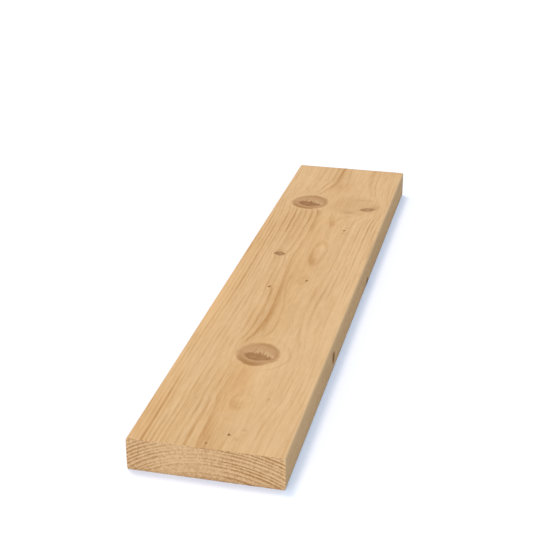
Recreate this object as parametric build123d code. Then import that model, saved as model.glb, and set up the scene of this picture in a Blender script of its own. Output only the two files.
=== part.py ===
from build123d import *

import os

# A planed softwood plank: one sawn piece, its four long edges eased in the planer,
# its two ends cut square. It lies flat on its wide face.
# Millimetres. X runs across the plank, Y along it, Z up from the face that it lies on.
# The origin is the middle of that face.

# Driving dimensions
LENGTH = 1000.0
WIDTH = 200.0
THICKNESS = 45.0
EASED_EDGE_RADIUS = 3.0


def planed_section():
    """The plank's cross-section, standing on the floor line, with all four corners eased."""
    on_the_floor = (Align.CENTER, Align.MIN)
    return Plane.XZ * RectangleRounded(WIDTH, THICKNESS, EASED_EDGE_RADIUS, align=on_the_floor)


def cut_to_length(section):
    """The section run out to both square-cut ends, the same distance each way from the middle."""
    return extrude(section, amount=LENGTH / 2, both=True)


plank = cut_to_length(planed_section())
plank.label = "plank"

os.makedirs("parts", exist_ok=True)
export_step(plank, "parts/plank.step")
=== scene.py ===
import functools
import math
from typing import NamedTuple

import bpy
from bpy.props import FloatProperty, FloatVectorProperty, PointerProperty
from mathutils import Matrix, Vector


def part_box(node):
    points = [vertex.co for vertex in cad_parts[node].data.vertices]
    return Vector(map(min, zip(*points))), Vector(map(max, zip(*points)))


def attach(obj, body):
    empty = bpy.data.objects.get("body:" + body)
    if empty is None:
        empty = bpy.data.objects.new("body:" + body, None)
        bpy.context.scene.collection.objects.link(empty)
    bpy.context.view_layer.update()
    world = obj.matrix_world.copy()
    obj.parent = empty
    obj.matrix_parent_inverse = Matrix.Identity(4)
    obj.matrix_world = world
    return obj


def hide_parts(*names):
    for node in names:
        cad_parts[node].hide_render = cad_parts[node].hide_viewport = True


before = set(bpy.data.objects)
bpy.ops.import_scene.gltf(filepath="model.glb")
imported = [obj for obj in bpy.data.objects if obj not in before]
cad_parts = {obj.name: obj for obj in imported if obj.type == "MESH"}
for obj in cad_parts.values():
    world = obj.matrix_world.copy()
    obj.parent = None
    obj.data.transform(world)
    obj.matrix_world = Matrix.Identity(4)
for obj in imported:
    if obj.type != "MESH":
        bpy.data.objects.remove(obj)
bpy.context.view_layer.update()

bl_info = {
    "name": "Planed Softwood Plank",
    "version": (1, 0, 0),
    "blender": (4, 5, 0),
    "location": "3D View > Sidebar > Plank",
    "description": "Saws a planed pine plank out of one solid tree, with its growth rings and knots",
    "category": "Add Mesh",
}

# The plank, in the part's frame: X across it, Y along it, Z up from the face that it lies on.
LOW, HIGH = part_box("plank")
MM = 0.001
WIDTH, LENGTH, THICKNESS = [size / MM for size in HIGH - LOW]
HALF_WIDTH = WIDTH / 2
HALF_LENGTH = LENGTH / 2

# Growth of the tree, in millimetres.
# The pith lies deep under the plank. Over it the rings stand highest: that is the crown.
PITH_DEPTH = 165.0
CROWN_AT_NEAR_END = 4.0
CROWN_FURTHER_ON = 19.0
CROWN_SETTLES = -330.0
CROWN_REACH = 55.0
# Right of the crown the rings are flatter, as if less far across.
RIGHT_FLATTER = 0.8
# Widths of the years from below the lower face to beyond the upper corners.
FIRST_AGE = -10.0
YEAR_WIDTHS = (
    5.0, 5.0, 5.5, 6.4, 6.6, 5.9, 4.2, 3.9, 6.0, 5.0, 3.7, 4.2, 4.6, 4.4, 4.6, 5.0, 5.5, 5.5, 5.5,
)
YEARS = tuple((FIRST_AGE + sum(YEAR_WIDTHS[:i]), float(i)) for i in range(len(YEAR_WIDTHS) + 1))


class Line(NamedTuple):
    """A growth line that stands out: the share of it that stays pale, and (place along, strength)."""

    pale: float
    strengths: tuple


# A planed face shows each year's latewood line and, halfway between two of them, a fainter false ring.
# Some lines stand out on the upper face. Odd ones are year lines.
KNOWN_LINES = {
    18: Line(0.3, ((-500, 0.15), (200, 0.10), (260, 0), (500, 0))),
    19: Line(0.2, ((-500, 0), (-425, 0.45), (-375, 0.4), (-340, 0.1), (-230, 0.1), (-20, 0.25),
                   (25, 0.45), (60, 0.6), (130, 0.5), (170, 0.2), (215, 0.5), (250, 0.35),
                   (290, 0.1), (350, 0.08), (500, 0))),
    20: Line(0.3, ((-500, 0.15), (200, 0.15), (260, 0.05), (500, 0.1))),
    21: Line(0.0, ((-500, 0.5), (-420, 0.55), (-335, 0.42), (-290, 0.2), (-225, 0.6),
                   (-170, 0.76), (-80, 0.76), (0, 0.55), (100, 0.5), (340, 0.6), (400, 0.8),
                   (440, 0.95), (500, 1))),
    22: Line(0.5, ((-500, 0.5), (-420, 0.45), (-240, 0.3), (-190, 0.6), (-60, 0.6), (0, 0.45),
                   (100, 0.5), (340, 0.5), (390, 0.75), (500, 0.75))),
    25: Line(0.4, ((-500, 0.35), (-330, 0.3), (-150, 0.3), (150, 0.4), (210, 0.75), (270, 0.6),
                   (500, 0.25))),
    28: Line(0.3, ((-500, 0.4), (-350, 0.35), (-300, 0.1), (-140, 0.1), (-90, 0.3),
                   (180, 0.3), (220, 0.15), (500, 0.15))),
    29: Line(0.1, ((-500, 0.8), (-350, 0.75), (-300, 0.2), (-140, 0.3), (-90, 0.9),
                   (180, 0.85), (220, 0.4), (500, 0.3))),
}
# The trunk swells and narrows along its length: (place along the plank, swelling).
SWELL = (
    (-500, 1.54), (-463, 1.30), (-425, 0.70), (-390, -0.44), (-350, -1.60), (-300, -0.90),
    (-256, -0.50), (-217, -0.40), (-195, 0.00), (-170, -0.09), (-125, 0.06), (-75, -0.40),
    (-37, -0.86), (0, -1.20), (50, -1.45), (105, -1.45), (150, -1.35), (208, -1.35),
    (245, -1.40), (300, -1.70), (377, -2.60), (402, -2.30), (430, -1.55), (500, -1.25),
)
SWELL_REACH = 75.0
# A thin streak of resin runs beside the darkest line, on the crown. The first table says where it lies
# across the plank and the second how strong it is, both by the place along.
STREAK_PATH = (
    (-500, 4), (-212, 2), (-180, 10), (-137, 9), (-87, 4), (-50, -2.5), (0, -6),
    (380, 4), (420, 7.5), (450, 6), (500, 3),
)
STREAK_STRENGTH = (
    (-500, 0), (-225, 0), (-190, 0.55), (-100, 0.50), (0, 0.45), (40, 0), (380, 0),
    (420, 0.40), (500, 0.45),
)
STREAK_SOFT = 5.0
STREAK_SHARP = 1.5
STREAK_DEEP = 6.0
# Branches climb the trunk as they grow out of the pith.
BRANCH_CLIMB = -0.25
# Sizes of the timber's patterns across, along and up. Growth lines waver slowly, ripple faster, and fade
# in and out.
WAVER = (45.0, 240.0, 45.0)
WAVER_MOST = 1.2
RIPPLE = (14.0, 90.0, 14.0)
RIPPLE_MOST = 0.3
DRIFT = (90.0, 130.0, 90.0)
RESIN_CLOUDS = (22.0, 70.0, 22.0)
MOTTLE = (6.0, 16.0, 6.0)
# Softwood fibres are about 0.03 mm across and 3 mm long, too fine to show in the render. Their streaks on
# a planed face and their open and broken ends on a sawn one are drawn as coarse as they need to show.
FIBRES = (2.0, 50.0, 2.0)
FINE_FIBRES = (0.5, 25.0, 0.5)
OPEN_ENDS = (2.8, 2.8, 2.8)
BROKEN_ENDS = (3.0, 3.0, 3.0)
# Real years hold finer changes still: so many fine lines are as close together as can be seen.
FINE_LINES_PER_YEAR = 8.0


class Knot(NamedTuple):
    """A branch where it leaves the plank, or a bud that stayed under the face. Millimetres and degrees.

    across and along are half sizes. lift is how far it lifts the rings, and reach how far from its rim
    that dies away. dark is the share of its own colour, turn its slant on the face and halo the strength
    of a line round its right side. A pointed one is a lens, and right_only lifts only the rings on the
    right.
    """

    place: tuple
    across: float
    along: float
    lift: float
    reach: float
    dark: float = 0.0
    turn: float = 0.0
    pointed: bool = False
    right_only: bool = False
    halo: float = 0.0


class Patch(NamedTuple):
    """A soft oval area, seen from above, that has more or less of something. Millimetres."""

    x: float
    y: float
    across: float
    along: float
    gain: float


class Cut(NamedTuple):
    """How a cut through the timber shows its growth lines.

    per_year is the count of lines in a year, false_ring the share of strength of every other line,
    least the share of the faintest line, begin the share of a line's width that stays pale, fuzz how far
    fibres blur a line, in lines, broken how far they break it up, fades the share that a line keeps where
    it is faintest, and fine the strength of the many fine lines within a year. Known lines have a
    strength of their own.
    """

    per_year: float
    false_ring: float
    least: float
    begin: float
    fuzz: float
    broken: float
    fades: float
    fine: float
    patches: tuple
    known_lines: dict


# Height of the upper face.
UP = THICKNESS
# Two live knots with a split dark heart.
NEAR_KNOT = Knot((5.6, -257.3, UP), 29.4, 31.2, 3.1, 23, 0.78, halo=0.25)
FAR_KNOT = Knot((-41.6, 312.5, UP), 31.2, 32, 5.2, 25, 0.92)
LIVE_KNOTS = (NEAR_KNOT, FAR_KNOT)
# Dark dead knots, pin knots, and knots that come out of the edges.
DEAD_KNOTS = (
    Knot((64.5, 299, UP), 15.5, 9, 1.3, 15, 0.75, 22, pointed=True),
    Knot((-43, 79.5, UP), 11.5, 8, 1, 9, 0.85, pointed=True),
    Knot((-30, -44.5, UP), 2.3, 4, 0.6, 7, 1),
    Knot((20.5, -12, UP), 2.1, 3.6, 0.9, 9, 1),
    Knot((42, 198, UP), 2, 4.2, 1, 9, 1),
    Knot((20.5, -464, UP), 2.3, 3.2, 0.4, 6, 1),
    Knot((-1.5, -489, UP), 1.5, 2.1, 0.3, 5, 0.9),
    Knot((HALF_WIDTH, -199, 21), 6, 9.5, 0.6, 7, 1),
    Knot((HALF_WIDTH, 90, 5), 5.5, 12, 0.8, 9, 0.85),
    Knot((-HALF_WIDTH, 158, 26), 5, 6, 0.8, 9, 0.9),
)
# Buds that never broke the face: rings close in loops over them. The last is a branch just under the face,
# with a tan cover.
HIDDEN_BUDS = (
    Knot((17.5, 102, UP), 7, 22, 2.2, 8),
    Knot((11, -16, UP), 4, 9, 0.9, 4),
    Knot((19, -397, UP), 18, 27, 1.8, 7),
    Knot((15, 264, UP), 5, 38, 1.5, 4.5),
    Knot((40, 312, UP), 45, 47, 6, 14, 0.14, right_only=True),
)
# Beyond so many half sizes a live knot changes nothing.
FAR_FROM_KNOTS = 9.0
# A live knot's rim is never quite round: it wanders by so much, over such a distance.
RIM_WANDERS = (8.0, 8.0, 0.0)
RIM_WANDERS_OVER = (13.0, 13.0, 13.0)
# Its heart: place, half sizes and tilt, and the spacing of the teeth and bands that it is split into.
HEART_PLACE = Vector((0.6, -5.6, 0.0))
HEART_ACROSS = 21.5
HEART_ALONG = 14.5
HEART_TILT = 0.25
HEART_TEETH = 2.5
HEART_BAND_LENGTH = 12.0
HEART_BANDS = 2.0
# A branch has growth rings of its own, about so many from its middle to its rim.
BRANCH_RINGS = 9.0
# Its wood takes on more of its colour than its heart does, by so much.
BRANCH_MORE = 0.12
# Dark parts of a live knot's rim: direction from its middle, and strength.
RIM_SIDES = (
    (Vector((-0.34, -0.94, 0.0)), 1.0),
    (Vector((0.42, 0.90, 0.0)), 0.6),
    (Vector((1.0, 0.1, 0.0)), 0.5),
)
RIM_LEAST = 0.12
# The tree closed over the branch in a faint line: its place and softness, in half sizes of the knot.
HALO_AWAY = 1.5
HALO_SOFT = 0.07
# Elsewhere the grain bends aside, by so many millimetres of growth.
BENDS = (
    Patch(-80, 50, 20, 170, -1.6),
    Patch(18, 165, 30, 110, -0.8),
    Patch(58, -265, 26, 70, 2.6),
    Patch(-18, 50, 15, 110, 0.9),
)
# Growth lines are squeezed dark below the far knot and in places along the edges. They are faint right of
# the crown, over the hidden branch and towards the far end.
FACE_LINE_PATCHES = (
    Patch(-42, 240, 34, 50, 0.9),
    Patch(-72, -450, 45, 120, 0.35),
    Patch(40, -200, 34, 560, -0.6),
    Patch(88, -260, 28, 260, -0.4),
    Patch(85, 200, 15, 60, 0.8),
    Patch(52, -50, 10, 45, 0.5),
    Patch(41, 311, 42, 44, -0.85),
    Patch(60, 420, 60, 130, -0.4),
    Patch(34, -435, 16, 90, -0.45),
    Patch(-70, 430, 45, 90, -0.55),
)
# Fine lines within a year show most left of the crown at the near end, where the rings are cut steeply,
# and least over the crown and the hidden branch.
FINE_LINE_PATCHES = (
    Patch(13, -60, 30, 900, -0.85),
    Patch(-58, -440, 34, 130, 0.7),
    Patch(41, 311, 42, 44, -0.7),
)
# On the ends the growth lines are fainter towards the middle, and stronger towards the near end's edges.
END_LINE_PATCHES = (
    Patch(-20, -HALF_LENGTH, 42, 60, -0.6),
    Patch(65, -HALF_LENGTH, 40, 60, 0.55),
    Patch(-90, -HALF_LENGTH, 30, 60, 0.3),
    Patch(30, HALF_LENGTH, 40, 60, -0.4),
)
PLANED_CUT = Cut(
    per_year=2.0, false_ring=0.7, least=0.25, begin=0.25, fuzz=0.3, broken=1.0, fades=0.15, fine=0.5,
    patches=FACE_LINE_PATCHES, known_lines=KNOWN_LINES)
SAWN_CUT = Cut(
    per_year=1.0, false_ring=1.0, least=0.65, begin=0.3, fuzz=0.6, broken=2.2, fades=0.5, fine=0.15,
    patches=END_LINE_PATCHES, known_lines={})
RELIEF_CUT = Cut(
    per_year=1.0, false_ring=1.0, least=0.6, begin=0.2, fuzz=0.1, broken=0.0, fades=0.15, fine=0.0,
    patches=(), known_lines={})
# The tone is deeper over the crown, where rings lie flat, and paler in places beside it and at the edges.
TONE_PATCHES = (
    Patch(-8, -95, 15, 125, 0.55),
    Patch(-11, 460, 11, 75, 0.45),
    Patch(-3, 398, 10, 16, 0.55),
    Patch(12, 370, 22, 120, 0.22),
    Patch(10, 70, 28, 95, 0.30),
    Patch(16, 58, 7, 14, 0.45),
    Patch(10, 85, 7, 30, 0.35),
    Patch(21, 115, 8, 14, -0.50),
    Patch(-14, 100, 12, 45, -0.25),
    Patch(12, -5, 14, 60, 0.28),
    Patch(12, 205, 12, 45, 0.22),
    Patch(0, -430, 24, 90, 0.28),
    Patch(0, -332, 17, 45, 0.55),
    Patch(21, -312, 8, 26, -0.35),
    Patch(-50, -435, 27, 120, -0.28),
    Patch(-48, 205, 32, 70, 0.25),
    Patch(-40, 270, 22, 24, 0.25),
    Patch(38, 312, 40, 40, 0.40),
    Patch(17, 225, 6, 18, 0.40),
    Patch(103, -420, 5, 130, -0.90),
    Patch(88, -250, 14, 45, 0.22),
    Patch(61, -90, 16, 75, 0.35),
    Patch(-10, -224, 16, 22, 0.35),
    Patch(22, -150, 14, 60, 0.25),
    Patch(-63, -250, 14, 60, -0.35),
    Patch(-92, 250, 14, 40, -0.35),
    Patch(-95, 100, 12, 90, 0.25),
    Patch(-98, -110, 13, 85, -0.70),
    Patch(-95, 0, 16, 900, -0.20),
    Patch(-92, -430, 12, 90, 0.28),
    Patch(-62, 40, 12, 60, -0.30),
    Patch(80, -60, 30, 500, -0.30),
    Patch(95, 130, 10, 50, 0.25),
    Patch(-82, 430, 30, 90, -0.20),
)
# Resin makes the pale wood golden along the crown and the left edge.
RESIN_PATCHES = (
    Patch(0, 110, 34, 330, 0.35),
    Patch(-2, -340, 19, 90, 0.80),
    Patch(-95, 110, 18, 130, 0.60),
    Patch(-90, -430, 16, 120, 0.60),
    Patch(-95, -130, 18, 110, 0.70),
)
# Brown stains beside the dead knots, and specks towards the near end.
STAIN_PATCHES = (
    Patch(75, 312, 9, 9, 0.35),
    Patch(34, 279, 9, 6, 0.45),
    Patch(37, 261, 5, 4, 0.25),
    Patch(45, 341, 15, 3.5, 0.22),
    Patch(45, 210, 3.5, 4, 0.30),
    Patch(42, 185, 3.5, 4, 0.30),
    Patch(-43, 90, 8, 5, 0.25),
    Patch(48.5, -372, 1.8, 2.6, 0.45),
    Patch(36, -450, 3.5, 2.6, 0.35),
    Patch(32, -472, 3, 3.5, 0.25),
)
# How dark the pale wood is, on the way to latewood, and how far patches and fibres change that.
PALE_TONE = 0.12
PATCH_SHARE = 0.35
FIBRE_SHARE = 0.6
# On a sawn end the open ends of the fibres stand out so many times as much.
GRIT_SHARE = 3.5
# How dark growth lines are on a planed face and on a sawn end.
PLANED_CONTRAST = 0.7
SAWN_CONTRAST = 0.82

# Node types, named once.
MATH = "ShaderNodeMath"
VECTOR = "ShaderNodeVectorMath"
SPLIT = "ShaderNodeSeparateXYZ"
JOIN = "ShaderNodeCombineXYZ"
NOISE = "ShaderNodeTexNoise"
RANDOM = "ShaderNodeTexWhiteNoise"
RANGE = "ShaderNodeMapRange"
CURVE = "ShaderNodeFloatCurve"
MIX = "ShaderNodeMix"
# Settings of nodes and of properties that many share.
SMOOTH = {"interpolation_type": "SMOOTHSTEP"}
BLEND = {"out": 2, "data_type": "RGBA"}
COLOUR = {"subtype": "COLOR", "min": 0.0, "max": 1.0}


def linear_rgb(code):
    """A colour written as an sRGB hex code, as linear red, green and blue."""
    shares = [int(code[i:i + 2], 16) / 255 for i in (0, 2, 4)]
    return [s / 12.92 if s <= 0.04045 else ((s + 0.055) / 1.055) ** 2.4 for s in shares]


def rgba(colour):
    """A colour with full alpha, as a colour socket takes it."""
    return (*colour, 1.0)


def add_node(tree, kind, feeds=(), out=0, **settings):
    """Adds a node, sets it, links or fills its inputs in order or by name, and returns one output."""
    node = tree.nodes.new(kind)
    for name, value in settings.items():
        setattr(node, name, value)
    pairs = feeds.items() if isinstance(feeds, dict) else enumerate(feeds)
    for key, feed in pairs:
        if isinstance(feed, bpy.types.NodeSocket):
            tree.links.new(feed, node.inputs[key])
        elif feed is not None:
            node.inputs[key].default_value = feed
    return node.outputs[out] if len(node.outputs) else node


def empty_nodes(owner):
    """Clears the nodes of a material or a world, and returns what adds nodes to it."""
    owner.use_nodes = True
    owner.node_tree.nodes.clear()
    return functools.partial(add_node, owner.node_tree)


def in_millimetres(put, place):
    """A place in metres, in millimetres."""
    return put(VECTOR, {0: place, "Scale": 1 / MM}, operation="SCALE")


def clouds(put, place, size, detail, rough, out=0):
    """A soft random pattern from 0 to 1, of a size in millimetres."""
    place = put(VECTOR, (place, size), operation="DIVIDE")
    return put(NOISE, (place, None, 1.0, detail, rough), out=out)


class PlankSizes(bpy.types.PropertyGroup):
    """Sizes of the plank's edges, surface and mesh."""

    eased_edge: FloatProperty(
        name="Eased Edge", description="Radius that the planer leaves on the four long edges",
        default=3 * MM, min=1 * MM, unit="LENGTH")
    end_arris: FloatProperty(
        name="End Arris", description="Radius worn on the arris of each sawn end",
        default=0.4 * MM, min=0.1 * MM, unit="LENGTH")
    raised_grain: FloatProperty(
        name="Raised Grain", description="How far the hard latewood stands above the planed earlywood",
        default=0.05 * MM, min=0.0, unit="LENGTH")
    torn_end_grain: FloatProperty(
        name="Torn End Grain", description="How deep the saw tears the earlywood on the ends",
        default=0.18 * MM, min=0.0, unit="LENGTH")
    mesh_pitch: FloatProperty(
        name="Mesh Pitch", description="Distance between mesh points across the faces",
        default=2.0 * MM, min=0.5 * MM, unit="LENGTH")


class PlankColours(bpy.types.PropertyGroup):
    """Colours of the timber."""

    earlywood: FloatVectorProperty(
        name="Earlywood", description="Pale wood between the growth lines",
        default=linear_rgb("E4C191"), **COLOUR)
    golden_earlywood: FloatVectorProperty(
        name="Golden Earlywood", description="Pale wood where it holds more resin",
        default=linear_rgb("E7BD87"), **COLOUR)
    # Torn end grain is pale, and this colour is set paler still: painted light that makes up for the dimmer
    # light on the ends.
    sawn_earlywood_painted_lighter: FloatVectorProperty(
        name="Sawn Earlywood", description="Pale wood where the saw has torn it open",
        default=linear_rgb("F4D1A4"), **COLOUR)
    sawn_latewood: FloatVectorProperty(
        name="Sawn Latewood", description="Dense wood of the growth lines, cut across",
        default=linear_rgb("B68956"), **COLOUR)
    latewood: FloatVectorProperty(
        name="Latewood", description="Dense dark wood of the growth lines",
        default=linear_rgb("BD8A49"), **COLOUR)
    live_knot: FloatVectorProperty(
        name="Live Knot", description="Wood of the branches that were alive",
        default=linear_rgb("BC9062"), **COLOUR)
    knot_rim: FloatVectorProperty(
        name="Knot Rim", description="Dark growth lines round a live knot",
        default=linear_rgb("AA7C45"), **COLOUR)
    dead_knot: FloatVectorProperty(
        name="Dead Knot", description="Dark heart of a knot, and pin knots",
        default=linear_rgb("8E5E29"), **COLOUR)


class StageLook(bpy.types.PropertyGroup):
    """Floor and light round the plank."""

    floor: FloatVectorProperty(
        name="Floor", description="Colour of the plain floor",
        default=linear_rgb("FFFFFF"), **COLOUR)
    sky: FloatVectorProperty(
        name="Sky", description="Colour of the soft light from all round",
        default=linear_rgb("CDD4DC"), **COLOUR)
    lamp: FloatVectorProperty(
        name="Lamps", description="Colour of both soft lamps",
        default=linear_rgb("FFE9D0"), **COLOUR)
    overhead_strength: FloatProperty(
        name="Overhead Strength", description="Light of the lamp overhead, in watts a square metre",
        default=1.09, min=0.0)
    front_strength: FloatProperty(
        name="Front Strength", description="Light of the lamp before the near end, in watts a square metre",
        default=0.88, min=0.0)


def patch_sum(put, place, patches):
    """How much more or less of something there is at a place, by soft patches."""
    total = 0.0
    for patch in patches:
        share = (1 / patch.across, 1 / patch.along, 0.0)
        start = (-patch.x / patch.across, -patch.y / patch.along, 0.0)
        offset = put(VECTOR, (place, share, start), operation="MULTIPLY_ADD")
        away = put(VECTOR, (offset, offset), out="Value", operation="DOT_PRODUCT")
        power = put(MATH, (away, -1.0, math.log(abs(patch.gain))), operation="MULTIPLY_ADD")
        amount = put(MATH, (power,), operation="EXPONENT")
        total = put(MATH, (total, amount), operation="ADD" if patch.gain > 0 else "SUBTRACT")
    return total


def bell(put, value, reach):
    """One where a value is zero, falling away evenly on both sides over a reach."""
    power = put(MATH, (value, value), operation="MULTIPLY")
    power = put(MATH, (power, -1 / reach ** 2), operation="MULTIPLY")
    return put(MATH, (power,), operation="EXPONENT")


def knot_offset(put, place, up, knot):
    """Where a place lies beside a knot's slanting core, in half sizes of the knot."""
    middle = Vector(knot.place)
    if knot.turn:
        back = -math.radians(knot.turn)
        place = put("ShaderNodeVectorRotate", (place, middle, None, back), rotation_type="Z_AXIS")
    depth = middle.z - (THICKNESS - PITH_DEPTH)
    slant = Vector(((middle.x - CROWN_FURTHER_ON) / depth, BRANCH_CLIMB, 0.0))
    share = Vector((1 / knot.across, 1 / knot.along, 0.0))
    start = (slant * middle.z - middle) * share
    beside = put(VECTOR, (place, share, start), operation="MULTIPLY_ADD")
    return put(VECTOR, (up, -(slant * share), beside), operation="MULTIPLY_ADD")


def knot_lift(put, lifted, offset, away, knot):
    """Adds how far a knot lifts the growth rings: all of it at the rim, dying away over its reach."""
    outside = put(MATH, (away, 1.0), operation="MAXIMUM")
    fade = knot.across / knot.reach
    power = put(MATH, (outside, -fade, fade + math.log(knot.lift)), operation="MULTIPLY_ADD")
    rise = put(MATH, (power,), operation="EXPONENT")
    if knot in LIVE_KNOTS:
        # A branch bends the grain above it and cuts straight through the grain below.
        above = put(RANGE, (put(SPLIT, (offset,), out="Y"), -1.2, 1.0, 0.25, 1.0))
        rise = put(MATH, (rise, above), operation="MULTIPLY")
    if knot.right_only:
        right = put(RANGE, (put(SPLIT, (offset,), out="X"), -0.8, 0.6, 0.1, 1.0))
        rise = put(MATH, (rise, right), operation="MULTIPLY")
    return put(MATH, (lifted, rise), operation="ADD")


def knot_heart(put, offset, knot):
    """The dark heart of a live knot: a lens with a pointed right end, split into teeth on its far side."""
    size = Vector((knot.across / HEART_ACROSS, knot.along / HEART_ALONG, 0.0))
    start = Vector((-HEART_PLACE.x / HEART_ACROSS, -HEART_PLACE.y / HEART_ALONG, 0.0))
    inner = put(VECTOR, (offset, size, start), operation="MULTIPLY_ADD")
    side, far, _ = put(SPLIT, (inner,)).node.outputs
    far = put(MATH, (side, HEART_TILT, far), operation="MULTIPLY_ADD")
    slim = put(RANGE, (side, 0.0, 1.0, 1.0, 0.6))
    far = put(MATH, (far, slim), operation="DIVIDE")
    inner = put(JOIN, (side, far, 0.0))
    away = put(VECTOR, (inner,), out="Value", operation="LENGTH")
    teeth = put(VECTOR, (inner, (HEART_ACROSS / HEART_TEETH, 0.6, 0.0)), operation="MULTIPLY")
    teeth = put(NOISE, (teeth, None, 1.0, 2.0, 0.6))
    teeth = put(RANGE, (teeth, 0.32, 0.68, -0.55, 1.6))
    finer = (HEART_ACROSS / HEART_BAND_LENGTH, HEART_ALONG / HEART_BANDS, 0.0)
    bands = put(VECTOR, (inner, finer), operation="MULTIPLY")
    bands = put(NOISE, (bands, None, 1.0, 2.0, 0.6))
    bands = put(RANGE, (bands, 0.35, 0.65, 0.5, 1.15))
    left = put(RANGE, (side, -0.9, 0.9, 1.1, 0.85))
    far = put(MATH, (far, 0.0), operation="MAXIMUM")
    bitten = put(MATH, (teeth, far, away), operation="MULTIPLY_ADD")
    heart = put(RANGE, (bitten, 0.80, 1.10, 1.0, 0.0), **SMOOTH)
    for share in (bands, left, knot.dark):
        heart = put(MATH, (heart, share), operation="MULTIPLY")
    # Pale flecks stand between the teeth, most of them on the right.
    fleck = put(RANGE, (teeth, 0.1, 1.1, 0.0, 0.65))
    begins = put(RANGE, (far, 0.15, 0.5, 0.0, 1.0))
    stops = put(RANGE, (away, 1.0, 1.7, 1.0, 0.0))
    right = put(RANGE, (side, -0.3, 0.4, 0.3, 1.0))
    for share in (begins, stops, right):
        fleck = put(MATH, (fleck, share), operation="MULTIPLY")
    return heart, fleck


def knot_rim(put, offset, away, knot):
    """The dark growth lines just inside a live knot's rim, heavy on its near side and lighter elsewhere."""
    inside = put(RANGE, (away, 0.64, 0.86, 0.0, 1.0), **SMOOTH)
    outside = put(RANGE, (away, 0.94, 1.12, 1.0, 0.0), **SMOOTH)
    weight = RIM_LEAST
    for way, most in RIM_SIDES:
        turned = put(VECTOR, (offset, way), out="Value", operation="DOT_PRODUCT")
        turned = put(RANGE, (turned, 0.35, 0.95, 0.0, most))
        weight = put(MATH, (weight, turned), operation="MAXIMUM")
    ring = put(MATH, (inside, outside), operation="MULTIPLY")
    ring = put(MATH, (ring, weight), operation="MULTIPLY")
    if not knot.halo:
        return ring
    halo = bell(put, put(MATH, (away, HALO_AWAY), operation="SUBTRACT"), HALO_SOFT)
    right = put(VECTOR, (offset, (1.0, -0.25, 0.0)), out="Value", operation="DOT_PRODUCT")
    right = put(RANGE, (right, 0.7, 1.4, 0.0, knot.halo))
    return put(MATH, (halo, right, ring), operation="MULTIPLY_ADD")


def grow_knots(put, place, up):
    """Nodes for the branches: how far they lift the rings, and where their woods lie."""
    uneven = clouds(put, place, RIM_WANDERS_OVER, 3.0, 0.6, out=1)
    uneven = put(VECTOR, (uneven, (0.5, 0.5, 0.5)), operation="SUBTRACT")
    uneven = put(VECTOR, (uneven, RIM_WANDERS, place), operation="MULTIPLY_ADD")
    lifted, woods, rim, hearts, flecks, spot = 0.0, 0.0, 0.0, 0.0, 0.0, 0.0
    live = FAR_FROM_KNOTS
    for knot in LIVE_KNOTS + DEAD_KNOTS + HIDDEN_BUDS:
        offset = knot_offset(put, uneven, up, knot)
        away = put(VECTOR, (offset,), out="Value", operation="LENGTH")
        lifted = knot_lift(put, lifted, offset, away, knot)
        if knot in LIVE_KNOTS:
            live = put(MATH, (live, away), operation="MINIMUM")
            most = knot.dark + BRANCH_MORE
            branch = put(RANGE, (away, 0.84, 1.14, most, 0.0), **SMOOTH)
            woods = put(MATH, (woods, branch), operation="MAXIMUM")
            rim = put(MATH, (rim, knot_rim(put, offset, away, knot)), operation="MAXIMUM")
            heart, fleck = knot_heart(put, offset, knot)
            hearts = put(MATH, (hearts, heart), operation="MAXIMUM")
            flecks = put(MATH, (flecks, fleck), operation="MAXIMUM")
        if knot in HIDDEN_BUDS and knot.dark:
            cover = put(RANGE, (away, 0.80, 1.08, knot.dark, 0.0), **SMOOTH)
            rim = put(MATH, (rim, cover), operation="MAXIMUM")
        if knot in DEAD_KNOTS:
            if knot.pointed:
                side, far, _ = put(SPLIT, (offset,)).node.outputs
                side = put(MATH, (side,), operation="ABSOLUTE")
                away = put(MATH, (far, far, side), operation="MULTIPLY_ADD")
            dark = put(RANGE, (away, 0.60, 1.15, knot.dark, 0.0), **SMOOTH)
            if knot.pointed:
                # Its middle has weathered paler.
                dark = put(MATH, (dark, put(RANGE, (away, 0.1, 0.6, 0.65, 1.0))), operation="MULTIPLY")
            spot = put(MATH, (spot, dark), operation="MAXIMUM")
    rings = put(MATH, (live, BRANCH_RINGS), operation="MULTIPLY")
    rings = put(NOISE, {"W": rings, "Detail": 1.0}, noise_dimensions="1D")
    rings = put(RANGE, (rings, 0.36, 0.64, 0.54, 1.14))
    woods = put(MATH, (woods, rings), operation="MULTIPLY")
    return {"lifted": lifted, "live": live, "knot": woods, "rim": rim, "heart": hearts,
            "fleck": flecks, "spot": spot}


def by_table(put, value, table):
    """Reads a value off the smooth curve through a table's pairs."""
    (first, last), (least, most) = [(min(column), max(column)) for column in zip(*table)]
    curve = put(CURVE, (1.0, put(RANGE, (value, first, last, 0.0, 1.0))))
    points = curve.node.mapping.curves[0].points
    places = [((at - first) / (last - first), (size - least) / (most - least)) for at, size in table]
    for place in places[1:-1]:
        points.new(*place)
    points[0].location, points[len(points) - 1].location = places[0], places[-1]
    curve.node.mapping.update()
    return put(RANGE, (curve, 0.0, 1.0, least, most))


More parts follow.
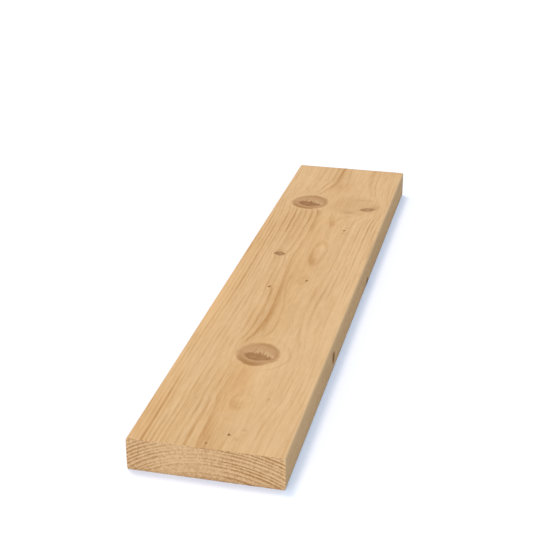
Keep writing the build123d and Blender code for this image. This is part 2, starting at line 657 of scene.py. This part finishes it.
def ring_age(put, place, across, along, up, lifted):
    """How far the tree had grown when it laid down the wood at a place: rings are round about the pith."""
    crown = (along, -HALF_LENGTH, CROWN_SETTLES, CROWN_AT_NEAR_END, CROWN_FURTHER_ON)
    crown = put(RANGE, crown, **SMOOTH)
    crown = put(MATH, (crown, bell(put, across, CROWN_REACH)), operation="MULTIPLY")
    sideways = put(MATH, (across, crown), operation="SUBTRACT")
    flatter = put(MATH, (sideways, RIGHT_FLATTER), operation="MULTIPLY")
    sideways = put(MATH, (sideways, flatter), operation="MINIMUM")
    height = put(MATH, (up, PITH_DEPTH - THICKNESS), operation="ADD")
    spoke = put(JOIN, (sideways, 0.0, height))
    age = put(VECTOR, (spoke,), out="Value", operation="LENGTH")
    swell = put(MATH, (by_table(put, along, SWELL), bell(put, sideways, SWELL_REACH)), operation="MULTIPLY")
    # Growth counts from the ring that lies at the lower face, over the pith.
    waver = clouds(put, place, WAVER, 3.0, 0.5)
    waver = put(MATH, (waver, 2 * WAVER_MOST, THICKNESS - PITH_DEPTH - WAVER_MOST), operation="MULTIPLY_ADD")
    ripple = clouds(put, place, RIPPLE, 1.0, 0.5)
    ripple = put(MATH, (ripple, 2 * RIPPLE_MOST, -RIPPLE_MOST), operation="MULTIPLY_ADD")
    for change in (swell, waver, ripple):
        age = put(MATH, (age, change), operation="ADD")
    for lift in (lifted, patch_sum(put, place, BENDS)):
        age = put(MATH, (age, lift), operation="SUBTRACT")
    return age


def crown_streak(put, across, along, up):
    """A thin streak along the crown: soft on its left side, sharp on its right, and shallow."""
    aside = put(MATH, (across, by_table(put, along, STREAK_PATH)), operation="SUBTRACT")
    rise = put(RANGE, (aside, -STREAK_SOFT, 0.0, 0.0, 1.0), **SMOOTH)
    fall = put(RANGE, (aside, 0.0, STREAK_SHARP, 1.0, 0.0), **SMOOTH)
    shallow = put(RANGE, (up, UP - STREAK_DEEP, UP, 0.0, 1.0))
    streak = by_table(put, along, STREAK_STRENGTH)
    for share in (rise, fall, shallow):
        streak = put(MATH, (streak, share), operation="MULTIPLY")
    return streak


def grow_timber(put, place, cut):
    """Nodes for the solid timber: what wood a cut shows at a place in it, given in millimetres."""
    across, along, up = put(SPLIT, (place,)).node.outputs
    wood = grow_knots(put, place, up)
    years = by_table(put, ring_age(put, place, across, along, up, wood["lifted"]), YEARS)
    fibres = clouds(put, place, FIBRES, 2.0, 0.6)
    fibres = put(MATH, (fibres, 0.5), operation="SUBTRACT")
    blur = put(MATH, (fibres, cut.fuzz), operation="MULTIPLY")
    lines = put(MATH, (years, cut.per_year, blur), operation="MULTIPLY_ADD")
    line = put(MATH, (lines,), operation="FLOOR")
    phase = put(MATH, (lines,), operation="FRACT")

    # No two years are alike, and every other line is a false ring. Lines fade in and out along the plank.
    odd = put(MATH, (line, 2.0), operation="FLOORED_MODULO")
    odd = put(RANGE, (odd, 0.0, 1.0, cut.false_ring, 1.0))
    luck = put(RANDOM, {"W": line}, noise_dimensions="1D")
    luck = put(RANGE, (luck, 0.0, 1.0, cut.least, 0.75))
    drift = put(VECTOR, (place, DRIFT), operation="DIVIDE")
    drift = put(VECTOR, (drift, put(JOIN, (line, line, line))), operation="ADD")
    drift = put(NOISE, (drift, None, 1.0, 1.0, 0.5))
    drift = put(RANGE, (drift, 0.32, 0.68, cut.fades, 1.35))
    strength = put(MATH, (odd, luck), operation="MULTIPLY")
    strength = put(MATH, (strength, drift), operation="MULTIPLY")
    begin = cut.begin
    for number, known in cut.known_lines.items():
        is_known = put(MATH, (line, number, 0.1), operation="COMPARE")
        strength = put(MIX, {0: is_known, 2: strength, 3: by_table(put, along, known.strengths)})
        begin = put(MATH, (is_known, known.pale - cut.begin, begin), operation="MULTIPLY_ADD")

    # Within a line the wood darkens slowly and ends sharply on the bark side.
    darker = put(RANGE, (phase, begin, 0.85, 0.0, 1.0), **SMOOTH)
    ends = put(RANGE, (phase, 0.90, 1.0, 1.0, 0.0), **SMOOTH)
    shape = put(MATH, (darker, ends), operation="MULTIPLY")
    # Lines are faint beside live knots.
    calm = put(RANGE, (wood["live"], 1.0, 1.5, 0.15, 1.0), **SMOOTH)
    more = put(MATH, (patch_sum(put, place, cut.patches), 1.0), operation="ADD")
    latewood = put(MATH, (shape, strength), operation="MULTIPLY")
    latewood = put(MATH, (latewood, more), operation="MULTIPLY")
    if cut.fine:
        fine = put(MATH, (years, FINE_LINES_PER_YEAR), operation="MULTIPLY")
        fine = put(NOISE, {"W": fine, "Detail": 1.0}, noise_dimensions="1D")
        fine = put(RANGE, (fine, 0.48, 0.66, 0.0, cut.fine))
        amount = put(MATH, (patch_sum(put, place, FINE_LINE_PATCHES), 1.0), operation="ADD")
        amount = put(MATH, (amount, 0.0), operation="MAXIMUM")
        for change in (drift, amount):
            fine = put(MATH, (fine, change), operation="MULTIPLY")
        latewood = put(MATH, (latewood, fine), operation="ADD")
    broken = put(MATH, (fibres, cut.broken, 1.0), operation="MULTIPLY_ADD")
    for change in (calm, broken):
        latewood = put(MATH, (latewood, change), operation="MULTIPLY")
    wood["latewood"] = put(MATH, (latewood, crown_streak(put, across, along, up)), operation="MAXIMUM")
    wood["fibres"] = fibres
    return wood


def timber_colour(put, place, wood, woods, contrast, colours):
    """Colours the timber by the wood at each place, from two kinds of pale wood and its latewood."""
    pale, golden, dense = woods
    tone = put(MATH, (wood["latewood"], contrast, PALE_TONE), operation="MULTIPLY_ADD")
    tone = put(MATH, (patch_sum(put, place, TONE_PATCHES), PATCH_SHARE, tone), operation="MULTIPLY_ADD")
    tone = put(MATH, (wood["fibres"], FIBRE_SHARE, tone), operation="MULTIPLY_ADD")
    mottle = clouds(put, place, MOTTLE, 3.0, 0.7)
    mottle = put(MATH, (mottle, 0.5), operation="SUBTRACT")
    # The planer leaves the long edges rougher than the wide faces.
    edge = put(MATH, (put(SPLIT, (place,), out="X"),), operation="ABSOLUTE")
    rougher = put(RANGE, (edge, HALF_WIDTH - 1.0, HALF_WIDTH, 0.4, 1.3))
    tone = put(MATH, (mottle, rougher, tone), operation="MULTIPLY_ADD")
    # Along the eased edges of the upper face the wood is painted paler: a painted highlight.
    painted_edge_highlight = put(RANGE, (edge, HALF_WIDTH - 3.0, HALF_WIDTH - 0.5, 0.0, -0.5))
    upper = put(RANGE, (put(SPLIT, (place,), out="Z"), UP - 9.0, UP - 2.0, 0.0, 1.0))
    tone = put(MATH, (painted_edge_highlight, upper, tone), operation="MULTIPLY_ADD")
    resin = clouds(put, place, RESIN_CLOUDS, 2.0, 0.6)
    resin = put(RANGE, (resin, 0.35, 0.65, 0.0, 0.3))
    resin = put(MATH, (patch_sum(put, place, RESIN_PATCHES), resin), operation="ADD", use_clamp=True)
    colour = put(MIX, {0: resin, 6: rgba(pale), 7: rgba(golden)}, **BLEND)
    colour = put(MIX, {0: tone, 6: colour, 7: rgba(dense)}, **BLEND)
    stain = patch_sum(put, place, STAIN_PATCHES)
    layers = ((wood["knot"], colours.live_knot), (wood["rim"], colours.knot_rim), (stain, colours.knot_rim),
              (wood["fleck"], pale), (wood["heart"], colours.dead_knot), (wood["spot"], colours.dead_knot))
    for layer, paint in layers:
        colour = put(MIX, {0: layer, 6: colour, 7: rgba(paint)}, **BLEND)
    return colour


def planed_pine(colours):
    """Pine off the planer: silky pale wood with honey-coloured growth lines and a soft sheen."""
    material = bpy.data.materials.new("planed_pine")
    put = empty_nodes(material)
    place = in_millimetres(put, put("ShaderNodeTexCoord", out="Object"))
    wood = grow_timber(put, place, PLANED_CUT)
    woods = (colours.earlywood, colours.golden_earlywood, colours.latewood)
    colour = timber_colour(put, place, wood, woods, PLANED_CONTRAST, colours)
    fibre = clouds(put, place, FINE_FIBRES, 2.0, 0.6)
    bump = put("ShaderNodeBump", {"Strength": 0.3, "Distance": 0.05 * MM, "Height": fibre})
    rough = put(RANGE, (wood["latewood"], 0.0, 1.0, 0.62, 0.5))
    shader = put("ShaderNodeBsdfPrincipled", {
        "Base Color": colour, "Roughness": rough, "IOR": 1.5, "Specular IOR Level": 0.3, "Normal": bump})
    put("ShaderNodeOutputMaterial", {"Surface": shader})
    return material


def sawn_end_grain(colours):
    """Pine cut across with a saw: open pores and torn earlywood make it dull, with ring ends in relief."""
    material = bpy.data.materials.new("sawn_pine_end_grain")
    put = empty_nodes(material)
    place = in_millimetres(put, put("ShaderNodeTexCoord", out="Object"))
    wood = grow_timber(put, place, SAWN_CUT)
    pores = clouds(put, place, OPEN_ENDS, 4.0, 0.75)
    grit = put(MATH, (pores, 0.5), operation="SUBTRACT")
    wood["fibres"] = put(MATH, (grit, GRIT_SHARE), operation="MULTIPLY")
    # Fibres break off along the upper arris, and the end is darker towards its lower arris: painted shade of
    # the floor contact.
    up = put(SPLIT, (place,), out="Z")
    broken = clouds(put, place, BROKEN_ENDS, 2.0, 0.7)
    broken = put(RANGE, (broken, 0.46, 0.60, 0.0, 0.9))
    arris = put(RANGE, (up, UP - 3.0, UP - 0.5, 0.0, 1.0))
    broken = put(MATH, (arris, broken), operation="MULTIPLY")
    # Painted shade: the lowest 8 mm of the end darken towards the floor, standing in for contact shade.
    rough = put(RANGE, (up, 8.0, 0.0, 0.0, 0.45))
    for damage_and_shade in (broken, rough):
        wood["latewood"] = put(MATH, (wood["latewood"], damage_and_shade), operation="MAXIMUM")
    # The ends' pale wood carries painted light as well as its own paler colour.
    woods = (colours.sawn_earlywood_painted_lighter, colours.sawn_earlywood_painted_lighter, colours.sawn_latewood)
    colour = timber_colour(put, place, wood, woods, SAWN_CONTRAST, colours)
    bump = put("ShaderNodeBump", {"Strength": 0.5, "Distance": 0.2 * MM, "Height": pores})
    shader = put("ShaderNodeBsdfPrincipled", {
        "Base Color": colour, "Roughness": 0.85, "IOR": 1.5, "Specular IOR Level": 0.2, "Normal": bump})
    put("ShaderNodeOutputMaterial", {"Surface": shader})
    return material


# Points that are alike to a ten-millionth of a metre are one point.
POINTS_IN_METRE = 1e7


class Skin:
    """Collects the faces of one closed skin. Points that coincide are one point."""

    def __init__(self):
        self.points = {}
        self.faces = []
        self.map_places = []
        self.materials = []

    def add(self, corners, material, flip):
        """Adds one face from its corners, each a point in metres and a place on the bake map."""
        if flip:
            corners = corners[::-1]
        face = []
        for point, map_place in corners:
            key = tuple(round(c * POINTS_IN_METRE) for c in point)
            index, _ = self.points.setdefault(key, (len(self.points), point))
            face.append(index)
            self.map_places.append(map_place)
        self.faces.append(face)
        self.materials.append(material)

    def grid(self, rows, material, flip=False):
        """Adds the four-sided faces between rows of corners."""
        for row, after in zip(rows, rows[1:]):
            for a, b, c, d in zip(row, row[1:], after[1:], after):
                corners = [a, b, c, d]
                distinct = [p for i, p in enumerate(corners) if p[0] != corners[i - 1][0]]
                self.add(distinct, material, flip)

    def to_object(self, name, materials):
        """Makes the mesh and its object, with smooth faces and a bake map."""
        mesh = bpy.data.meshes.new(name)
        mesh.from_pydata([point for _, point in self.points.values()], [], self.faces)
        layer = mesh.uv_layers.new(name="OFBake")
        layer.data.foreach_set("uv", [c for place in self.map_places for c in place])
        for material in materials:
            mesh.materials.append(material)
        mesh.polygons.foreach_set("material_index", self.materials)
        mesh.shade_smooth()
        mesh.validate()
        piece = bpy.data.objects.new(name, mesh)
        bpy.context.scene.collection.objects.link(piece)
        return piece


# Slots of the two materials.
PLANED, SAWN = 0, 1
# Steps of the mesh round an eased edge, round an arris, and from an end's middle part out to its border.
ARC_STEPS = 12
ARRIS_STEPS = 3
CAP_LEVELS = 4
# A row of points so close beside each bend keeps the flat faces flat.
SUPPORT = 0.3 * MM
# Rows along the plank: their distance, that beside the larger knots, and the most before the last row.
ROW_PITCH = 5.0 * MM
KNOT_ROW_PITCH = 2.2 * MM
LAST_ROW_GAP = 6 * MM
# How far beyond a knot the rows stay close, in millimetres.
KNOT_MARGIN = 8.0
# The bake map: the long faces fill a strip, and the two ends lie side by side above it.
MAP_MARGIN = 0.01
MAP_STRIP_LENGTH = 0.98
MAP_STRIP_HEIGHT = 0.80
MAP_END_MIDDLES = {1: 0.25, -1: 0.75}
MAP_END_HEIGHT = 0.90
MAP_END_WIDTH = 0.46


def halved(stations):
    """Stations with another one put halfway between each two."""
    middles = [(a + b) / 2 for a, b in zip(stations, stations[1:])]
    return sorted(stations + middles)


def run_stations(half, pitch):
    """Stations on a flat run from -half to half, close together where it meets the eased edges."""
    inner = half - SUPPORT
    steps = max(1, round(2 * inner / pitch))
    stations = [-half] + [-inner + 2 * inner * i / steps for i in range(steps + 1)] + [half]
    return halved(stations)


def section_outline(sizes, half_x, half_z, middle_z):
    """The eased section's outline, anticlockwise from below left, as (x, z) and outward direction.

    Also the stations of its flat runs across and upright.
    """
    inner_x, inner_z = half_x - sizes.eased_edge, half_z - sizes.eased_edge
    runs_x = run_stations(inner_x, sizes.mesh_pitch)
    runs_z = run_stations(inner_z, sizes.mesh_pitch)
    outline = []
    sides = ((runs_x, (1, 0), -90), (runs_z, (0, 1), 0), (runs_x, (-1, 0), 90), (runs_z, (0, -1), 180))
    for stations, (dx, dz), outward in sides:
        angle = math.radians(outward)
        out = (math.cos(angle), math.sin(angle))
        for s in stations[:-1]:
            x = dx * s + out[0] * half_x * abs(dz)
            z = dz * s + out[1] * half_z * abs(dx)
            outline.append(((x, z), out))
        corner_x = dx * inner_x + out[0] * inner_x * abs(dz)
        corner_z = dz * inner_z + out[1] * inner_z * abs(dx)
        for i in range(ARC_STEPS):
            turn = angle + math.pi / 2 * i / ARC_STEPS
            way = (math.cos(turn), math.sin(turn))
            point = (corner_x + sizes.eased_edge * way[0], corner_z + sizes.eased_edge * way[1])
            outline.append((point, way))
    return [((x, z + middle_z), out) for (x, z), out in outline], runs_x, runs_z


def length_stations(first, last):
    """Stations along the plank, closer together beside the larger knots."""
    stations = [first, first + SUPPORT]
    while stations[-1] < last - LAST_ROW_GAP:
        y = stations[-1] / MM
        near = any(abs(y - k.place[1]) < k.along + KNOT_MARGIN for k in LIVE_KNOTS + DEAD_KNOTS[:2])
        stations.append(stations[-1] + (KNOT_ROW_PITCH if near else ROW_PITCH))
    return stations + [last - SUPPORT, last]


def build_plank(sizes, colours):
    """The plank's skin: four planed faces with eased edges between them, and two sawn ends."""
    half_x, half_z = HALF_WIDTH * MM, THICKNESS * MM / 2
    middle_z = LOW.z + half_z
    outline, runs_x, runs_z = section_outline(sizes, half_x, half_z, middle_z)
    closed = outline + outline[:1]
    gone, total = [0.0], 0.0
    for (a, _), (b, _) in zip(closed, closed[1:]):
        total += math.dist(a, b)
        gone.append(total)
    skin = Skin()
    arris = sizes.end_arris

    def side_corner(i, inset, y):
        (x, z), out = closed[i]
        point = (x - out[0] * inset, y, z - out[1] * inset)
        map_x = MAP_MARGIN + MAP_STRIP_LENGTH * (y - LOW.y) / (HIGH.y - LOW.y)
        return point, (map_x, MAP_MARGIN + MAP_STRIP_HEIGHT * gone[i] / total)

    def side_row(y, inset=0.0, step=1):
        return [side_corner(i, inset, y) for i in range(0, len(closed), step)]

    stations = length_stations(LOW.y + arris + SUPPORT, HIGH.y - arris - SUPPORT)
    skin.grid([side_row(y, step=2) for y in stations], PLANED, flip=True)

    for end, turn in ((LOW.y, 1), (HIGH.y, -1)):
        # Every second point of the finer rows at the end meets a point of the long faces.
        coarse, fine = side_row(end + turn * (arris + SUPPORT)), side_row(end + turn * arris)
        for i in range(0, len(fine) - 2, 2):
            a, b = coarse[i], coarse[i + 2]
            c, d, e = fine[i], fine[i + 1], fine[i + 2]
            for face in ((c, d, a), (d, b, a), (d, e, b)):
                skin.add(list(face), PLANED, flip=turn > 0)
        rows = []
        for i in range(ARRIS_STEPS + 1):
            angle = math.pi / 2 * i / ARRIS_STEPS
            rows.append(side_row(end + turn * arris * (1 - math.sin(angle)), arris * (1 - math.cos(angle))))
        skin.grid(rows, SAWN, flip=turn < 0)
        build_end(skin, sizes, runs_x, runs_z, end, middle_z, turn)
    return skin.to_object("plank_timber", [planed_pine(colours), sawn_end_grain(colours)])


def build_end(skin, sizes, runs_x, runs_z, end, middle_z, turn):
    """One sawn end: a fine grid, with a fan of faces in each eased corner."""
    border = sizes.eased_edge - sizes.end_arris
    levels = [border * i / CAP_LEVELS for i in range(CAP_LEVELS + 1)]
    scale = MAP_END_WIDTH / (WIDTH * MM)

    def corner(x, z):
        map_place = (MAP_END_MIDDLES[turn] + turn * x * scale, MAP_END_HEIGHT + z * scale)
        return (x, end, z + middle_z), map_place

    top_x, top_z = runs_x[-1], runs_z[-1]
    skin.grid([[corner(x, z) for x in runs_x] for z in runs_z], SAWN, flip=turn < 0)
    for side in (1, -1):
        across = [[corner(x, side * (top_z + r)) for x in runs_x] for r in levels]
        upright = [[corner(side * (top_x + r), z) for z in runs_z] for r in levels]
        skin.grid(across, SAWN, flip=side * turn < 0)
        skin.grid(upright, SAWN, flip=side * turn > 0)
        for level in (1, -1):
            turns = [math.pi / 2 * i / ARC_STEPS for i in range(ARC_STEPS + 1)]
            fan = []
            for r in levels:
                fan.append([corner(side * (top_x + r * math.cos(t)), level * (top_z + r * math.sin(t)))
                            for t in turns])
            skin.grid(fan, SAWN, flip=side * level * turn > 0)


def carve_relief(piece, sizes):
    """Sinks the soft earlywood into the faces and ends, so that the growth lines are felt in the mesh."""
    tree = bpy.data.node_groups.new("plank_relief", "GeometryNodeTree")
    tree.interface.new_socket("Geometry", in_out="INPUT", socket_type="NodeSocketGeometry")
    tree.interface.new_socket("Geometry", in_out="OUTPUT", socket_type="NodeSocketGeometry")
    put = functools.partial(add_node, tree)
    place = in_millimetres(put, put("GeometryNodeInputPosition"))
    normal = put("GeometryNodeInputNormal")
    wood = grow_timber(put, place, RELIEF_CUT)
    endwise = put(MATH, (put(SPLIT, (normal,), out="Y"),), operation="ABSOLUTE")
    endwise = put(RANGE, (endwise, 0.5, 0.9, 0.0, 1.0), **SMOOTH)
    soft = put(MATH, (1.0, wood["latewood"]), operation="SUBTRACT", use_clamp=True)
    deepest = put(RANGE, (endwise, 0.0, 1.0, -sizes.raised_grain, -sizes.torn_end_grain))
    depth = put(MATH, (soft, deepest), operation="MULTIPLY")
    offset = put(VECTOR, {0: normal, "Scale": depth}, operation="SCALE")
    moved = put("GeometryNodeSetPosition", {"Geometry": put("NodeGroupInput"), "Offset": offset})
    put("NodeGroupOutput", (moved,))
    modifier = piece.modifiers.new("relief", "NODES")
    modifier.node_group = tree


class PLANK_OT_timber(bpy.types.Operator):
    """Builds the plank from its sizes and its tree's growth"""

    bl_idname = "plank.timber"
    bl_label = "Saw and Plane the Plank"

    def execute(self, context):
        scene = context.scene
        piece = build_plank(scene.plank_sizes, scene.plank_colours)
        carve_relief(piece, scene.plank_sizes)
        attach(piece, "root")
        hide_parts("plank")
        return {"FINISHED"}


# The camera in metres and degrees, with its lens in millimetres.
CAMERA_PLACE = Vector((0.36906, -1.68536, 0.85161))
CAMERA_TURN = math.radians(13.386)
CAMERA_DIP = math.radians(25.004)
CAMERA_LENS = 80.0
# Where the light comes from, and how wide each lamp looks.
OVERHEAD_FROM = Vector((-0.27, 0.25, 1.0))
OVERHEAD_ANGLE = math.radians(15.0)
FRONT_FROM = Vector((-0.25, -1.0, 0.25))
FRONT_ANGLE = math.radians(30.0)
FLOOR_SIZE = 30.0
# The floor throws back less light on the plank than the eye sees, and its shadows have a faint blue glow.
FLOOR_BOUNCE = 0.53
FLOOR_GLOW = (0.07, 0.15, 0.28)


def floor_material(look):
    """Plain white painted floor: an even white that keeps the plank's shadow."""
    material = bpy.data.materials.new("matt_white_floor")
    put = empty_nodes(material)
    bounce = put("ShaderNodeBsdfDiffuse", (rgba([FLOOR_BOUNCE * c for c in look.floor]),))
    seen = put("ShaderNodeBsdfDiffuse", (rgba(look.floor),))
    glow = put("ShaderNodeEmission", (rgba(FLOOR_GLOW), 1.0))
    seen = put("ShaderNodeAddShader", (seen, glow))
    path = put("ShaderNodeLightPath").node.outputs
    shader = put("ShaderNodeMixShader", (path["Is Camera Ray"], bounce, seen))
    put("ShaderNodeOutputMaterial", {"Surface": shader})
    return material


def build_floor(look):
    """A wide flat floor under the plank."""
    half = FLOOR_SIZE / 2
    mesh = bpy.data.meshes.new("floor")
    corners = [(x * half, y * half, LOW.z) for x, y in ((-1, -1), (1, -1), (1, 1), (-1, 1))]
    mesh.from_pydata(corners, [], [(0, 1, 2, 3)])
    mesh.materials.append(floor_material(look))
    floor = bpy.data.objects.new("floor", mesh)
    bpy.context.scene.collection.objects.link(floor)


def build_sky(look):
    """Soft light from all round, seen as plain white."""
    world = bpy.data.worlds.new("white_room")
    put = empty_nodes(world)
    light = put("ShaderNodeBackground", (rgba(look.sky), 1.0))
    white = put("ShaderNodeBackground", (rgba(look.floor), 1.0))
    path = put("ShaderNodeLightPath").node.outputs
    shader = put("ShaderNodeMixShader", (path["Is Camera Ray"], light, white))
    put("ShaderNodeOutputWorld", {"Surface": shader})
    bpy.context.scene.world = world


def build_lamp(name, place, angle, strength, colour):
    """A wide soft lamp, far away."""
    lamp = bpy.data.lights.new(name, "SUN")
    lamp.energy = strength
    lamp.angle = angle
    lamp.color = colour
    holder = bpy.data.objects.new(name, lamp)
    holder.location = place
    holder.rotation_mode = "QUATERNION"
    holder.rotation_quaternion = (-place).to_track_quat("-Z", "Y")
    bpy.context.scene.collection.objects.link(holder)


def build_camera():
    """The camera, level, looking down along the plank."""
    camera = bpy.data.cameras.new("camera")
    camera.lens = CAMERA_LENS
    holder = bpy.data.objects.new("camera", camera)
    flat = math.cos(CAMERA_DIP)
    ahead = Vector((-math.sin(CAMERA_TURN) * flat, math.cos(CAMERA_TURN) * flat, -math.sin(CAMERA_DIP)))
    holder.location = CAMERA_PLACE
    holder.rotation_mode = "QUATERNION"
    holder.rotation_quaternion = ahead.to_track_quat("-Z", "Y")
    bpy.context.scene.collection.objects.link(holder)
    bpy.context.scene.camera = holder


class PLANK_OT_stage(bpy.types.Operator):
    """Sets the floor, the light and the camera round the plank"""

    bl_idname = "plank.stage"
    bl_label = "Set the Stage"

    def execute(self, context):
        look = context.scene.plank_stage
        build_floor(look)
        build_sky(look)
        build_lamp("overhead_lamp", OVERHEAD_FROM, OVERHEAD_ANGLE, look.overhead_strength, look.lamp)
        build_lamp("front_lamp", FRONT_FROM, FRONT_ANGLE, look.front_strength, look.lamp)
        build_camera()
        context.scene.view_settings.view_transform = "Standard"
        return {"FINISHED"}


class VIEW3D_PT_plank(bpy.types.Panel):
    """Lists the plank's values and the steps that build it"""

    bl_label = "Planed Softwood Plank"
    bl_idname = "VIEW3D_PT_plank"
    bl_space_type = "VIEW_3D"
    bl_region_type = "UI"
    bl_category = "Plank"

    def draw(self, context):
        scene = context.scene
        for group in (scene.plank_sizes, scene.plank_colours, scene.plank_stage):
            box = self.layout.box()
            for name in group.bl_rna.properties.keys():
                if name not in ("rna_type", "name"):
                    box.prop(group, name)
        for operator in (PLANK_OT_timber, PLANK_OT_stage):
            self.layout.operator(operator.bl_idname)


CLASSES = (PlankSizes, PlankColours, StageLook, PLANK_OT_timber, PLANK_OT_stage, VIEW3D_PT_plank)
GROUPS = {"plank_sizes": PlankSizes, "plank_colours": PlankColours, "plank_stage": StageLook}


def register():
    for cls in CLASSES:
        bpy.utils.register_class(cls)
    for name, group in GROUPS.items():
        setattr(bpy.types.Scene, name, PointerProperty(type=group))


def unregister():
    for name in GROUPS:
        delattr(bpy.types.Scene, name)
    for cls in reversed(CLASSES):
        bpy.utils.unregister_class(cls)


def main():
    """Builds the plank and its stage."""
    register()
    bpy.ops.plank.timber()
    bpy.ops.plank.stage()


if __name__ == "__main__":
    main()
